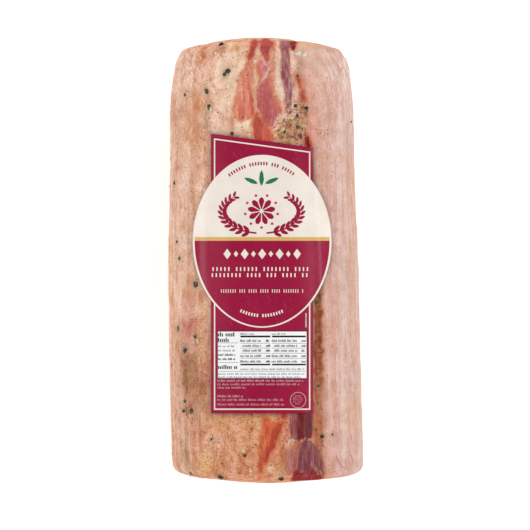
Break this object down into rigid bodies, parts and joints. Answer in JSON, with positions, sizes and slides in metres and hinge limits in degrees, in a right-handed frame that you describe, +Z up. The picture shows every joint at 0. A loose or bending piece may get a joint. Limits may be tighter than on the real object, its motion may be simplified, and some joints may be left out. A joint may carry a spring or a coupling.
{
  "type": "rolled pancetta in vacuum film",
  "caption": "Rolled, peppered pork belly in tight clear vacuum film, lying on its side, with a plain die-cut label across its upper face.",
  "frame": {"origin": "centre of the footprint, on the surface the roll lies on", "axes": "+Z up through the label's face; +Y along the roll, towards its slimmer end and the label's upper edge; +X to the right seen from above"},
  "size_m": [0.1097, 0.2496, 0.0988],
  "materials": {
    "cured_pork": "pale pink pork fat with red lean streaks and cracked pepper under tight glossy clear film",
    "label_paper": "coated burgundy label paper with cream and gold fields"
  },
  "bodies": {
    "root": {"pancetta": "cured_pork", "label": "label_paper"}
  },
  "joints": []
}
